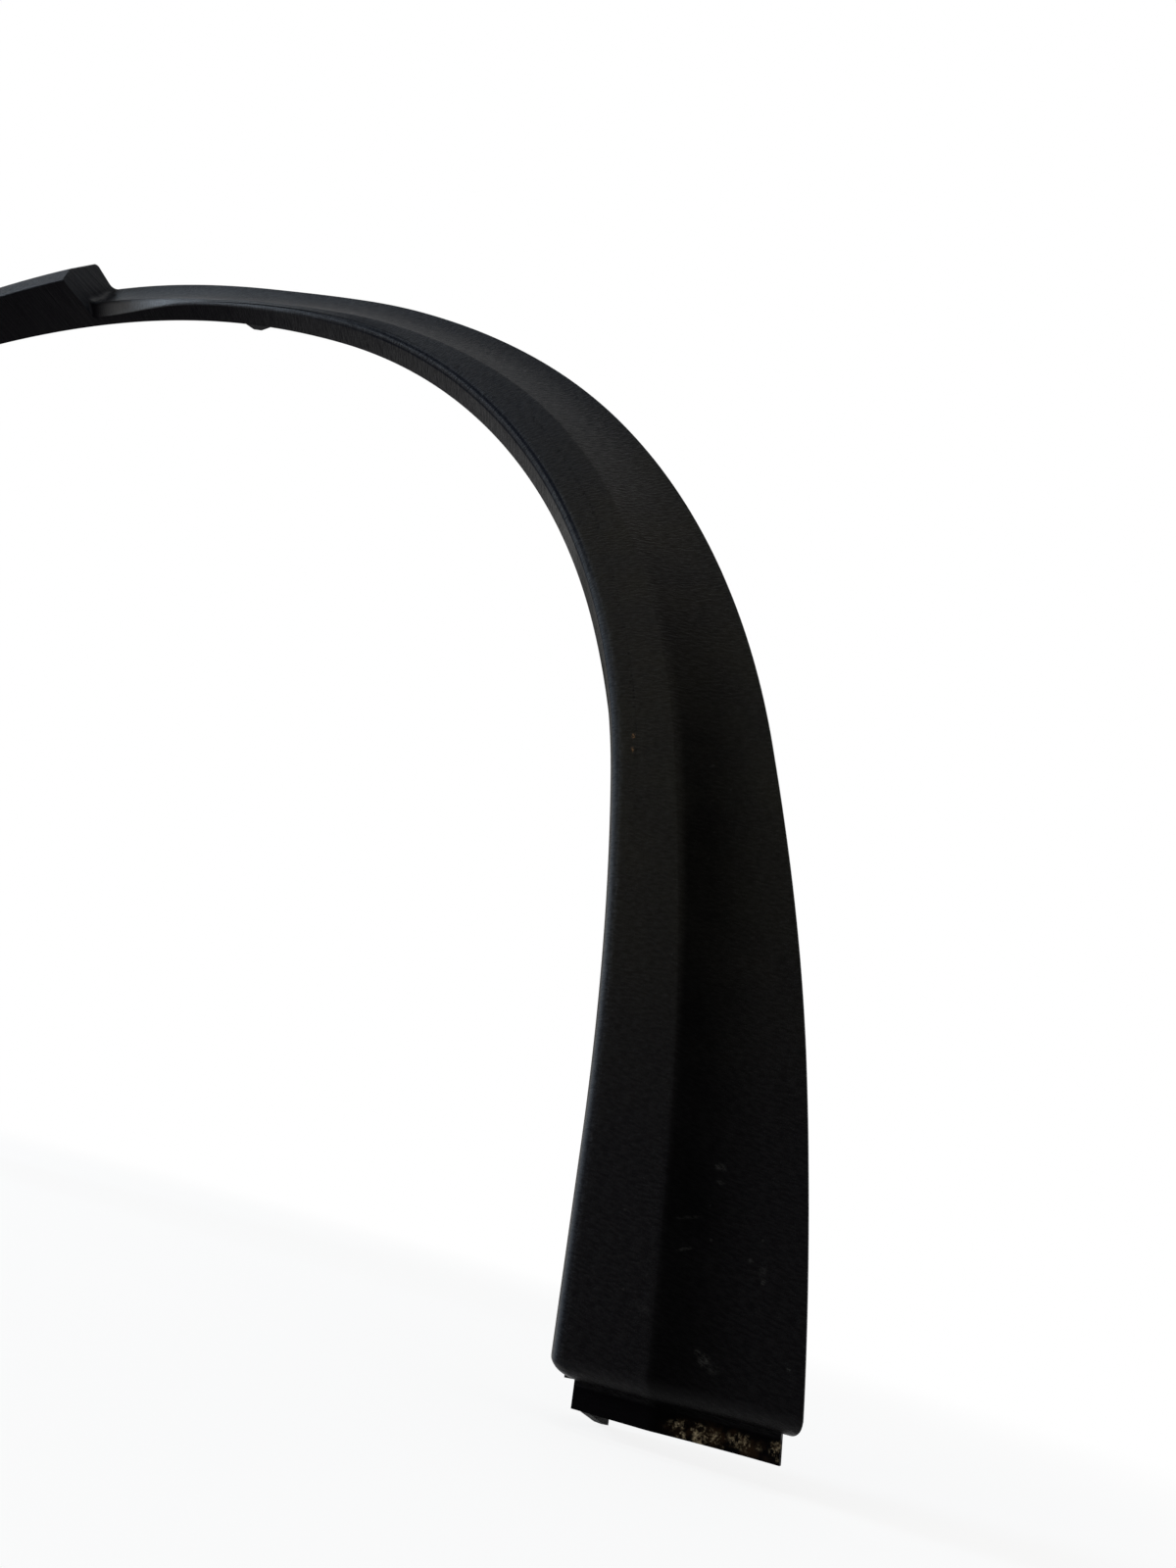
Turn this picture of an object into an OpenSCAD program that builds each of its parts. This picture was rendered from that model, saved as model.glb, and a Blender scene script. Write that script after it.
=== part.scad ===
// Wheel arch trim of a small off-road style car: one moulding that frames the top of a wheel
// opening, and the push-in clips that hold it to the body.
// X runs along the car, Y runs inboard and Z runs up, so the show face looks along minus Y.
// The origin is on the axis of the locating clip, where it meets the plane of the car body.
// Places on the trim are given as s, the way along the foot of its inner wall from the top of
// the arch (plus towards the trim's wide foot), u, the way out from that wall, and v, the height
// above the plane of the car body.

/* [Arch] */
// Radius of the wheel opening above the wheel
top_r = 521; // [500:1:560]
// Angle that this radius covers on each side of the top
top_angle = 19; // [16:0.5:21]
// Radius of the wheel opening beside the wheel
side_r = 323; // [310:1:340]
// Angle from the vertical at which the opening turns flatter beside the wheel
knee_angle = 76; // [73:0.5:79]
// Radius of the wheel opening from there to the legs
knee_r = 1000; // [800:10:1100]
// Angle at which the straight legs lean away from the wheel
leg_lean = 6.4; // [5:0.2:8]
// Length of the straight part of each leg
leg_l = 68; // [55:1:90]

/* [Face] */
// Width of the face at the top of the arch
top_w = 25.5; // [25:0.5:28]
// Width of the face at its neck, just past the top
neck_w = 24.2; // [23:0.2:25.5]
// Width of the face at the haunch, between the neck and the shoulder
haunch_w = 31; // [28:0.5:33]
// Width of the face at the shoulder of the arch
shoulder_w = 46.5; // [43:0.5:52]
// Width of the face at the knee, where the curve runs into the leg
knee_w = 62.6; // [57:0.2:66]
// Width of the face at the ankle, where the leg begins to run straight
ankle_w = 73.1; // [68:0.1:76]
// Width of the face at the foot
foot_w = 78.5; // [72:0.5:86]
// Height of the rolled edge above the car body
rim_h = 12; // [10:0.5:15]
// Height of the rolled edge in the dip beside the raised block
dip_h = 4; // [3.4:0.2:5]
// Height of the rolled edge halfway from the top to the neck
rise_h = 8.6; // [7:0.1:9]
// Height of the rolled edge at the neck
neck_rim_h = 10.6; // [9.4:0.1:11]
// How far the inner wall leans out by the time it reaches the rolled edge
draft = 5.5; // [4:0.1:6]
// How late along the rise from the dip the wall begins to lean out
draft_rise = 2; // [1:0.1:2.4]
// Radius of the rolled edge in the legs
rim_r = 5.5; // [3.5:0.5:6.5]
// Radius of the rolled edge at the top of the arch
top_rim_r = 2.8; // [2.6:0.1:3.5]
// Width of the raised band at the top of the arch
top_band_w = 6.2; // [5.8:0.2:8]
// Width of the raised band at the neck
neck_band_w = 6.8; // [6.2:0.2:8]
// Width of the raised band at the haunch
haunch_band_w = 13.5; // [11:0.5:16]
// Width of the raised band at the shoulder
shoulder_band_w = 24.5; // [20:0.5:27]
// Width of the raised band at the knee
knee_band_w = 28.2; // [27:0.2:30]
// Width of the raised band at the foot
foot_band_w = 34.5; // [31:0.5:40]
// Height of the crease that ends the raised band
crease_h = 10; // [8:0.5:11]
// Radius of the crease
crease_r = 2; // [1:0.5:4]
// How strongly the outer face is hollowed past the crease
hollow = 1.9; // [1.2:0.1:2.4]
// Wall thickness
wall_t = 2.5; // [2:0.1:2.7]
// Thickness of the outer edge
edge_t = 1.2; // [0.8:0.1:2]
// How far the inner wall reaches behind the car body's plane at the feet
skirt = 26; // [15:1:32]
// Place from which it begins to reach there, as a share of the way from the shoulder to the knee
skirt_start = 0.55; // [0.1:0.05:0.8]
// How far the wall reaches behind the plane under the raised block
block_skirt = 1.4; // [1:0.2:4]

/* [Raised block] */
// Distance of the block's end face from the top of the arch
block_s = 14.2; // [12:0.2:20]
// Height of the block at its end face
block_h = 30.7; // [24:0.5:36]
// Height of the block's band at the far foot
block_foot_h = 15; // [13:0.5:22]
// How sharply the block's height falls off behind its end face
block_fall = 3; // [1:0.5:6]
// How far the block's shoulder stands out past the outer edge at its end face
side_out = 4.3; // [2:0.1:5]
// The same at the far foot
side_foot_out = 1.4; // [1:0.1:3]
// How far the end face leans back by the time it reaches the top
end_lean = 0.3; // [0.1:0.1:3]
// Width of the flat on top of the block
land_w = 10; // [7:0.5:12]
// Width of that flat at the far foot
land_foot_w = 28; // [20:0.5:32]
// How far that flat falls towards the ridge for each mm of its width
land_fall = 0.12; // [0.05:0.01:0.2]
// Height of the block's outer side at its end face
side_h = 17; // [12:0.5:20]
// Height of the outer side at the far foot
side_foot_h = 5; // [4:0.5:9]
// Radius of the fillet where the end face runs out into the arch
fillet_r = 4; // [3:0.5:6]
// Radius of the block's edge above the inner wall
block_rim_r = 1.2; // [0.8:0.1:2]
// Radius of the ridge where its flat ends
ridge_r = 3; // [1:0.5:4]
// Radius of the block's shoulder
brow_r = 2.2; // [1:0.2:2.6]

/* [Feet] */
// Radius over which the face turns in at a foot, along the leg
turn_l = 5; // [4:0.5:8]
// Depth by which the face drops in that turn
turn_h = 7.5; // [6:0.5:8]
// How far the inner wall turns in at the foot
turn_u = 8; // [6:0.5:10]
// Angle by which the foot's end leans from square to the leg
foot_slant = 4.2; // [3:0.2:8]
// How far the outer edge turns in at the foot
turn_edge = 5; // [1:0.5:6]
// Length by which the joggled tab stands out at its inner side
tab_l = 7.6; // [6:0.2:14]
// Length by which the joggled tab stands out at its outer side
tab_outer_l = 8.2; // [4:0.2:10]
// Distance of the tab's inner side from the foot of the inner wall
tab_u = 10.6; // [10.2:0.2:14]
// Distance of the tab's outer side from the face's outer edge
tab_inset = 7; // [5:0.5:10]
// How much further than the plate the tab's side wall reaches
tongue_l = 5.2; // [3:0.2:9]
// How far that side wall stays short of the inner wall's back edge
tongue_short = 1.5; // [0.5:0.5:4]
// Width of the lug on the inner wall
lug_w = 18; // [12:0.5:24]
// Length of the lug behind the wall
lug_l = 4.4; // [3.6:0.2:6]
// Place of the lug along the arch
lug_s = 107; // [90:1:130]

/* [Clips] */
// Distance between clips along each side
clip_pitch = 110; // [95:1:112]
// Number of clips of each side past the shoulder
clip_n = 4; // [2:1:4]
// Place of the first of them
clip_s = 290; // [280:1:300]
// Distance of the clips under the block from the foot of the inner wall
block_clip_u = 13.9; // [13:0.1:14.5]
// How far the other clips sit outside the middle of the band
clip_out = 2; // [1:0.5:3]
// Place of the locating clip, under the raised block
locator_s = 62; // [50:1:75]
// Radius of a clip's shank
shank_r = 4; // [3.5:0.1:4.5]
// Length of a clip's shank
shank_l = 9.5; // [8:0.5:12]
// Length of the tapered tip within that
tip_l = 2.8; // [2:0.2:3]
// Radius of the tip's end
tip_r = 1.8; // [1:0.1:2.5]
// Radius of a clip's head
head_r = 6.5; // [6:0.1:7]
// How far a clip's flange stands out past its head
flange_out = 1; // [0.6:0.1:1.4]
// Radius of a clip's neck
neck_r = 3.2; // [2.8:0.1:3.4]
// Clearance of a clip in its seat
seat_gap = 0.2; // [0.1:0.05:0.3]
// Thickness of a seat plate
plate_t = 2; // [1.5:0.1:2.5]
// Thickness of a clip's head and flange
flange_t = 1.2; // [1:0.1:1.5]
// Width of a seat plate beside the clip's head
seat_edge = 1.5; // [1.2:0.1:1.6]
// Thickness of the ribs that carry a seat
rib_t = 1.8; // [1.2:0.1:2.4]

/* [Hidden] */

// Where the neck and the haunch lie, as shares of the top's length, and the ankle, of the knee's
neck_share = 0.6;
haunch_share = 1.2;
ankle_share = 0.8;

// Lengths along the arch
top_l = top_r * top_angle * PI / 180;
side_l = side_r * (knee_angle - top_angle) * PI / 180;
knee_l = knee_r * (90 - leg_lean - knee_angle) * PI / 180;
half_l = top_l + side_l + knee_l + leg_l;
neck_s = top_l * neck_share;
haunch_s = top_l * haunch_share;
shoulder_s = top_l + side_l / 2;
knee_s = top_l + side_l;
ankle_s = knee_s + knee_l * ankle_share;

// Centres of the radii, from the wheel's centre
side_c = [(top_r - side_r) * sin(top_angle), 0];
top_c = [0, -(top_r - side_r) * cos(top_angle)];
knee_c = side_c - (knee_r - side_r) * [sin(knee_angle), cos(knee_angle)];

// Places of the clips, minus on the block's side
left_s = [-locator_s, -(locator_s + clip_s) / 2];
pitch_s = [for (i = [0 : clip_n - 1]) clip_s + i * clip_pitch];
clip_places = concat(left_s, [for (s = pitch_s) -s], pitch_s);

// Levels of a clip seat above the car body
plate_v = flange_t + seat_gap;
head_v = plate_v + plate_t + seat_gap;

// Overlap of pieces of the moulding that run into each other, the least radius on its inside, and
// the least distance that counts
lap = 0.6;
least_r = 0.3;
tiny = 0.001;

// Bend in the end of the tab's side wall, as shares of the wall's depth and of what it stands out
bend_depth = 0.7;
bend_out = 0.8;

// Height of the lug's ends and length of its steep slope, as shares of its length
lug_end = 0.25;
lug_rake = 0.7;

// Steps of the surfaces, and where the section's straight stretches have points of their own
ring_step = 18;
rim_n = 6;
crease_n = 3;
turn_n = 6;
brow_n = 4;
wall_stop = 0.3;
flat_stops = [0.4, 0.7];
side_stops = [0.35, 0.6, 0.8];
face_n = len(side_stops) + brow_n + 1;
rib_n = 6;
tab_n = 10;
skin_n = 2 + (rim_n + 1) + len(flat_stops) + (crease_n + 1) + face_n;
// Rise that takes a ring all the way up to the block
risen = 100;

// Arithmetic
function mix(a, b, t) = a + (b - a) * t;
function unit(p) = p / norm(p);
function slope(t, i) = let(last = len(t) - 1)
    i == 0 || i == last ? 0
    : (t[i].y - t[i - 1].y) * (t[i + 1].y - t[i].y) <= 0 ? 0
    : (t[i + 1].y - t[i - 1].y) / (t[i + 1].x - t[i - 1].x);

// Height at x of the smooth curve through the points t
function curve(x, t) =
    let(c = min(max(x, t[0].x), t[len(t) - 1].x),
        i = max([for (j = [0 : len(t) - 2]) c >= t[j].x ? j : 0]),
        w = t[i + 1].x - t[i].x,
        k = (c - t[i].x) / w)
    (2 * k ^ 3 - 3 * k ^ 2 + 1) * t[i].y + (3 * k ^ 2 - 2 * k ^ 3) * t[i + 1].y
    + w * ((k ^ 3 - 2 * k ^ 2 + k) * slope(t, i) + (k ^ 3 - k ^ 2) * slope(t, i + 1));

// Corner c between a and b, moved in by d, and the same corner rounded by an arc of n steps
function inset(a, c, b, d) = let(p = unit(a - c), q = unit(b - c))
    c + unit(p + q) * d / sin(acos(p * q) / 2);
function rounded(a, c, b, r, n) =
    let(p = unit(a - c), q = unit(b - c), half = acos(p * q) / 2,
        middle = inset(a, c, b, r), start = c + p * r / tan(half) - middle,
        turn = (cross(p, q) < 0 ? 1 : -1) * (180 - 2 * half))
    [for (i = [0 : n]) let(w = turn * i / n)
        middle + [start.x * cos(w) - start.y * sin(w), start.x * sin(w) + start.y * cos(w)]];

// The arch's line: angle of its outward normal from the vertical, and its points
function angle(s) = let(d = abs(s)) (s < 0 ? -1 : 1)
    * (d < top_l ? d / top_r * 180 / PI
    : d < knee_s ? top_angle + (d - top_l) / side_r * 180 / PI
    : min(knee_angle + (d - knee_s) / knee_r * 180 / PI, 90 - leg_lean));
function normal(s) = [sin(angle(s)), cos(angle(s))];
function right_line(s) = let(n = normal(s))
    s < top_l ? top_c + top_r * n
    : s < knee_s ? side_c + side_r * n
    : knee_c + knee_r * n + max(0, s - knee_s - knee_l) * [n.y, -n.x];
function line(s) = let(p = right_line(abs(s))) [s < 0 ? -p.x : p.x, p.y];

// Sizes of the section along the arch
function face_w(s) = curve(s, [[0, top_w], [neck_s, neck_w], [haunch_s, haunch_w],
    [shoulder_s, shoulder_w], [knee_s, knee_w], [ankle_s, ankle_w], [half_l, foot_w]]);
function band_w(s) = curve(s, [[0, top_band_w], [neck_s, neck_band_w],
    [haunch_s, haunch_band_w], [shoulder_s, shoulder_band_w], [knee_s, knee_band_w],
    [half_l, foot_band_w]]);
function rim_v(s) = curve(s, [[-block_s, dip_h], [neck_s / 2, rise_h], [neck_s, neck_rim_h],
    [haunch_s, rim_h]]);
function rim_round(s) = curve(s, [[0, top_rim_r], [shoulder_s, rim_r]]);
function skirt_v(s) = max(
    curve(abs(s), [[mix(shoulder_s, knee_s, skirt_start), 0], [half_l - leg_l / 2, skirt]]),
    curve(-s, [[-neck_s, 0], [locator_s + block_s, block_skirt]]));

// The feet end on a level line, so the rings there lean over more and more
function level(s) = tan(foot_slant) * curve(abs(s), [[half_l - leg_l, 0], [half_l - turn_l, 1]]);

// Half section of the arch, d mm inside the show surface, from the wall's back edge outwards
function face_v(t) = edge_t + (crease_h - edge_t) * (1 - t) ^ hollow;
function arch_skin(s, d) =
    let(rv = rim_v(s), w = face_w(s), band = band_w(s), foot = [0, 0],
        rim = [draft * (rv / rim_h) ^ draft_rise, rv], crease = [band, crease_h],
        lower = [mix(band, w, 1 / face_n), face_v(1 / face_n)],
        in_foot = [d, 0],
        in_rim = d == 0 ? rim : inset(foot, rim, crease, d),
        in_crease = d == 0 ? crease : inset(rim, crease, lower, d),
        in_lower = lower - [0, d])
    concat([[d, -skirt_v(s)], mix(in_foot, in_rim, wall_stop)],
        rounded(in_foot, in_rim, in_crease, max(rim_round(s) - d, least_r), rim_n),
        [for (t = flat_stops) mix(in_rim, in_crease, t)],
        rounded(in_rim, in_crease, in_lower, max(crease_r - d, least_r), crease_n),
        [for (i = [1 : face_n]) let(t = i / face_n) [mix(band, w, t), max(face_v(t) - d, 0)]],
        [[w, d == 0 ? edge_t / 2 : 0]]);

// The same for the raised block, whose height falls off from its end face to the far foot
function fade(far) = max(0, 1 - (far - block_s) / (half_l - block_s)) ^ block_fall;
function block_skin(s, d) =
    let(far = abs(s), out = face_w(far),
        h = mix(block_foot_h, block_h, fade(far)),
        land = curve(far, [[block_s, land_w], [half_l, land_foot_w]]),
        side = mix(side_foot_h, side_h, fade(far)),
        proud = curve(far, [[block_s, side_out], [half_l, side_foot_out]]),
        foot = [0, 0], top = [draft * h / block_h / 2, h], shelf = top + land * [1, -land_fall],
        brow = [out + proud, side], edge = [out, 0],
        in_foot = [d, 0], in_edge = edge - [d, 0],
        in_top = d == 0 ? top : inset(foot, top, shelf, d),
        in_shelf = d == 0 ? shelf : inset(top, shelf, brow, d),
        in_brow = d == 0 ? brow : inset(shelf, brow, edge, d))
    concat([[d, -skirt_v(s)], mix(in_foot, in_top, wall_stop)],
        rounded(in_foot, in_top, in_shelf, max(block_rim_r - d, least_r), rim_n),
        [for (t = flat_stops) mix(in_top, in_shelf, t)],
        rounded(in_top, in_shelf, in_brow, max(ridge_r - d, least_r), crease_n),
        [for (t = side_stops) mix(in_shelf, in_brow, t)],
        rounded(in_shelf, in_brow, in_edge, max(brow_r - d, least_r), brow_n),
        [in_edge]);

// A ring across the moulding: place, how far the inside lags, rise to the block, turn-in at a foot
function run(a, b) = let(n = ceil(abs(b - a) / ring_step)) [for (i = [1 : n - 1]) mix(a, b, i / n)];
function foot_rings(side) = [for (i = [0 : turn_n]) let(w = 90 * i / turn_n)
    [side * (half_l - turn_l * (1 - sin(w))), -side * wall_t * sin(w), side < 0 ? risen : 0,
     1 - cos(w)]];
fillet_rings = [for (i = [turn_n : -1 : 0]) let(w = 90 * i / turn_n)
    [-block_s + fillet_r * (1 - sin(w)), -wall_t * sin(w), 1 - cos(w), 0]];
end_s = -block_s - end_lean;
left_rings = foot_rings(-1);
right_rings = foot_rings(1);
rings = concat(
    [for (i = [turn_n : -1 : 0]) left_rings[i]],
    [for (s = run(turn_l - half_l, end_s - fillet_r)) [s, 0, risen, 0]],
    [[end_s - fillet_r, 0, risen, 0], [end_s, -wall_t, risen, 0]],
    fillet_rings,
    [for (s = run(fillet_r - block_s, half_l - turn_l)) [s, 0, 0, 0]],
    right_rings);

// Points of one skin of a ring
function tuck(p, q, d, w) = let(k = (w - (turn_u + turn_edge - d) * q) / w)
    [p.x * k + (turn_u - d) * q, p.y - (p.y < 0 ? 0 : (turn_h - d) * q)];
function lifted(a, b, h) = let(far = norm(b - a)) far < tiny ? b : mix(a, b, min(1, h / far));
function skin(ring, d) =
    let(s = ring[0] + (d == 0 ? 0 : ring[1]),
        arch = arch_skin(s, d), block = block_skin(s, d),
        rise = ring[2] * (ring[2] < risen ? fillet_r + d : 1),
        w = face_w(abs(s)))
    [for (i = [0 : skin_n]) let(p = lifted(arch[i], block[i], rise), q = tuck(p, ring[3], d, w),
        n = normal(s), o = line(s + (s < 0 ? -1 : 1) * level(s) * q.x))
        [o.x + q.x * n.x, -q.y, o.y + q.x * n.y]];
function loop(ring) = let(inside = skin(ring, wall_t))
    concat(skin(ring, 0), [for (i = [skin_n : -1 : 0]) inside[i]]);

// Walls between neighbouring rings, and the caps on the first and last
around = 2 * (skin_n + 1);
function wall_faces(j) = [for (i = [0 : around - 1], side = [0, 1])
    let(a = j * around + i, b = j * around + (i + 1) % around, c = a + around, e = b + around)
    side == 0 ? [a, b, e] : [a, e, c]];
function cap_faces(j, flip) = [for (i = [0 : skin_n - 1], side = [0, 1])
    let(a = j * around + i, b = a + 1, c = (j + 1) * around - 1 - i, e = c - 1,
        f = side == 0 ? [a, c, e] : [a, e, b])
    flip ? [f[2], f[1], f[0]] : f];

module shell() {
    last = len(rings) - 1;
    polyhedron(
        points = [for (ring = rings) each loop(ring)],
        faces = concat([for (j = [0 : last - 1]) each wall_faces(j)],
            cap_faces(0, false), cap_faces(last, true)));
}

// Axes at a place on the arch: x outwards, y towards the foot, z inboard
module at(s) {
    p = line(abs(s));
    mirror([s < 0 ? 1 : 0, 0, 0])
        translate([p.x, 0, p.y])
            rotate([0, angle(abs(s)) - 90, 0])
                rotate([-90, 0, 0]) children();
}

// Middle of the face's thickness at a place, for ribs to end in
function mid_skin(s) = let(p = s < -block_s ? block_skin(s, wall_t / 2) : arch_skin(s, wall_t / 2))
    [for (i = [2 : skin_n]) p[i]];

// A rib across the hollow of the moulding, from u0 to u1, that starts v0 above the car body
module rib(s, u0, u1, v0) {
    top = [for (i = [rib_n : -1 : 0]) let(u = mix(u0, u1, i / rib_n)) [u, -lookup(u, mid_skin(s))]];
    at(s) rotate([90, 0, 0])
        linear_extrude(rib_t, center = true)
            polygon(concat([[u0, -v0], [u1, -v0]], top));
}

function clip_u(s) = s < 0 && s > -clip_s ? block_clip_u : band_w(abs(s)) / 2 + clip_out;

// A plate with a keyhole slot for a clip, on two ribs
module clip_seat(s) {
    u = clip_u(s);
    half = head_r + seat_edge;
    at(s) translate([0, 0, -plate_v - plate_t]) linear_extrude(plate_t) difference() {
        translate([u - half, -half]) square([2 * half, 2 * half]);
        translate([u, 0]) circle(neck_r + seat_gap, $fn = 48);
        translate([u, -neck_r]) square([half + lap, 2 * neck_r]);
    }
    for (side = [-1, 1]) {
        rib(s + side * (half + lap - rib_t / 2), u - half - lap, u + half + lap, plate_v + plate_t / 2);
    }
}

// The joggled tab below the wide foot, that slides behind the next trim: a plate that follows
// the face at a lower level, and a side wall on its inner side
module foot_tab() {
    fall = turn_h - lap;
    to = foot_w - tab_inset;
    face = [for (i = [2 : skin_n - 1]) arch_skin(half_l, 0)[i]];
    top = [for (i = [0 : tab_n]) let(u = mix(tab_u, to, i / tab_n)) [u, fall - lookup(u, face)]];
    under = [for (i = [tab_n : -1 : 0]) top[i] + [0, wall_t]];
    middle = top[0].y + wall_t / 2;
    deep = skirt - tongue_short;
    slant = tan(foot_slant);
    at(half_l) {
        intersection() {
            rotate([90, 0, 0]) linear_extrude(3 * foot_w, center = true)
                polygon(concat(top, under));
            linear_extrude(2 * foot_w, center = true) polygon([
                [tab_u, tab_u * slant - wall_t], [to, to * slant - wall_t],
                [to, to * slant + tab_outer_l], [tab_u, tab_u * slant + tab_l]]);
        }
        translate([tab_u + lap / 2, tab_u * slant, 0]) rotate([90, 0, 90]) linear_extrude(wall_t)
            polygon([[-wall_t / 2, middle], [-wall_t / 2, deep], [tab_l + tongue_l, deep],
                [tab_l + tongue_l * bend_out, deep * bend_depth], [tab_l - lap, middle]]);
        translate([turn_u - wall_t, turn_u * slant - wall_t + lap / 2, 0])
            cube([tab_u - turn_u + wall_t + lap, wall_t, deep - lap]);
    }
}

// A snap lug behind the inner wall, seen below it beside the top of the arch, with sloped ends
module lug() {
    half = lug_w / 2;
    at(lug_s) translate([lap, 0, 0]) rotate([90, 0, 90]) linear_extrude(wall_t - 2 * lap)
        polygon([[-half, -lap], [half, -lap], [half, lug_l * lug_end], [0, lug_l],
                 [lug_l * lug_rake - half, lug_l], [-half, lug_l * lug_end]]);
}

module trim() {
    color("#1d1e20") union() {
        shell();
        for (s = clip_places) clip_seat(s);
        foot_tab();
        lug();
    }
}

// One push-in clip, standing on the car body with its shank through it
module clip() {
    rotate([180, 0, 0]) rotate_extrude($fn = 48) polygon([
        [0, head_v + flange_t], [head_r, head_v + flange_t], [head_r, head_v],
        [neck_r, head_v], [neck_r, flange_t],
        [head_r + flange_out, flange_t], [head_r + flange_out, 0],
        [shank_r, 0], [shank_r, tip_l - shank_l],
        [tip_r, -shank_l], [0, -shank_l]]);
}

module clips() {
    color("#d9d6cb") for (s = clip_places) at(s) translate([clip_u(s), 0, 0]) clip();
}

// Place of the locating clip's axis, which becomes the origin
origin = line(-locator_s) + clip_u(-locator_s) * normal(-locator_s);

module placed() {
    translate([-origin.x, 0, -origin.y]) children();
}

placed() trim();
placed() clips();
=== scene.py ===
"""Looks of a wheel arch trim: the moulding's fine surface, its worn black plastic, and a studio.

Sizes of the moulding are in mm, as in the part's source, and become metres in row_point().
"""
import math

import bpy
import bmesh
import numpy as np
from mathutils import Matrix, Vector


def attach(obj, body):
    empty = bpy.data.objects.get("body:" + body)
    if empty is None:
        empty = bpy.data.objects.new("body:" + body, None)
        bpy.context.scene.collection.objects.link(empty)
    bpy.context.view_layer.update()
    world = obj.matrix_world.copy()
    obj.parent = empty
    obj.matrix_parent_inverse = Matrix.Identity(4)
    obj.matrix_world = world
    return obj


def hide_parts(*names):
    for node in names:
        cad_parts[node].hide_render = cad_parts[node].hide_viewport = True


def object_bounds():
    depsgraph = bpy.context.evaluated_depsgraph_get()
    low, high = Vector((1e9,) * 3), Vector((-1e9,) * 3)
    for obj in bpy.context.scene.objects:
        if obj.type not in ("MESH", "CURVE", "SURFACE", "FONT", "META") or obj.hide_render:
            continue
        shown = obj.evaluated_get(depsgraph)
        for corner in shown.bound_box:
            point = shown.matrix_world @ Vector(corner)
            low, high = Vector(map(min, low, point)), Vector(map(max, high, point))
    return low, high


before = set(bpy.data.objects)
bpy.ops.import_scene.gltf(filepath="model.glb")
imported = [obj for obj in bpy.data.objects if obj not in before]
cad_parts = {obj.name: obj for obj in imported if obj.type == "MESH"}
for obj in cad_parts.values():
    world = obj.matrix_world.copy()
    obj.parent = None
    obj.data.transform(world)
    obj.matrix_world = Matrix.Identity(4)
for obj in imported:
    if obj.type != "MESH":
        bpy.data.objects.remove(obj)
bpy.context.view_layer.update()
MM = 0.001

# The arch's line
TOP_R = 521
TOP_ANGLE = math.radians(19)
SIDE_R = 323
KNEE_ANGLE = math.radians(76)
KNEE_R = 1000
LEG_LEAN = math.radians(6.4)
LEG_L = 68

# The face
TOP_W = 25.5
NECK_W = 24.2
HAUNCH_W = 31
SHOULDER_W = 46.5
KNEE_W = 62.6
ANKLE_W = 73.1
FOOT_W = 78.5
RIM_H = 12
DIP_H = 4
RISE_H = 8.6
NECK_RIM_H = 10.6
DRAFT = 5.5
DRAFT_RISE = 2
RIM_R = 5.5
TOP_RIM_R = 2.8
TOP_BAND_W = 6.2
NECK_BAND_W = 6.8
HAUNCH_BAND_W = 13.5
SHOULDER_BAND_W = 24.5
KNEE_BAND_W = 28.2
FOOT_BAND_W = 34.5
CREASE_H = 10
CREASE_R = 2
CREASE_REACH = 1 / 8
DRAFT_START = 0.3
HOLLOW = 1.9
WALL_T = 2.5
EDGE_T = 1.2
SKIRT = 26
SKIRT_START = 0.55
BLOCK_SKIRT = 1.4

# The raised block
BLOCK_S = 14.2
BLOCK_H = 30.7
BLOCK_FOOT_H = 15
BLOCK_FALL = 3
SIDE_OUT = 4.3
SIDE_FOOT_OUT = 1.4
END_LEAN = 0.3
LAND_W = 10
LAND_FOOT_W = 28
LAND_FALL = 0.12
SIDE_H = 17
SIDE_FOOT_H = 5
FILLET_R = 4
FILLET_CLEAR = 1.2
END_R = 1
END_CLEAR = 0.8
BLOCK_RIM_R = 1.2
RIDGE_R = 3
BROW_R = 2.2

# The feet
TURN_L = 5
TURN_H = 7.5
TURN_U = 8
FOOT_SLANT = math.tan(math.radians(4.2))
TURN_EDGE = 5
TAB_L = 7.6
TAB_OUTER_L = 8.2
TAB_U = 10.6
TAB_INSET = 7
TONGUE_L = 5.2
TONGUE_SHORT = 1.5
BEND_DEPTH = 0.7
BEND_OUT = 0.8
LUG_W = 18
LUG_L = 4.4
LUG_END = 0.25
LUG_RAKE = 0.7
LUG_S = 107

# The clips' seats
CLIP_S = 290
CLIP_PITCH = 110
CLIP_N = 4
LOCATOR_S = 62
BLOCK_CLIP_U = 13.9
CLIP_OUT = 2
HEAD_R = 6.5
NECK_R = 3.2
SEAT_GAP = 0.2
PLATE_T = 2
FLANGE_T = 1.2
SEAT_EDGE = 1.5
RIB_T = 1.8
LAP = 0.6
LEAST_R = 0.3

# Lengths along the arch, and the centres of its radii
TOP_L = TOP_R * TOP_ANGLE
SIDE_L = SIDE_R * (KNEE_ANGLE - TOP_ANGLE)
KNEE_L = KNEE_R * (math.pi / 2 - LEG_LEAN - KNEE_ANGLE)
KNEE_S = TOP_L + SIDE_L
HALF_L = KNEE_S + KNEE_L + LEG_L
NECK_S = TOP_L * 0.6
HAUNCH_S = TOP_L * 1.2
SHOULDER_S = TOP_L + SIDE_L / 2
ANKLE_S = KNEE_S + KNEE_L * 0.8
SIDE_C = Vector(((TOP_R - SIDE_R) * math.sin(TOP_ANGLE), 0))
TOP_C = Vector((0, -(TOP_R - SIDE_R) * math.cos(TOP_ANGLE)))
KNEE_C = SIDE_C - (KNEE_R - SIDE_R) * Vector((math.sin(KNEE_ANGLE), math.cos(KNEE_ANGLE)))
PLATE_V = FLANGE_T + SEAT_GAP
RISEN = 100

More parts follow.
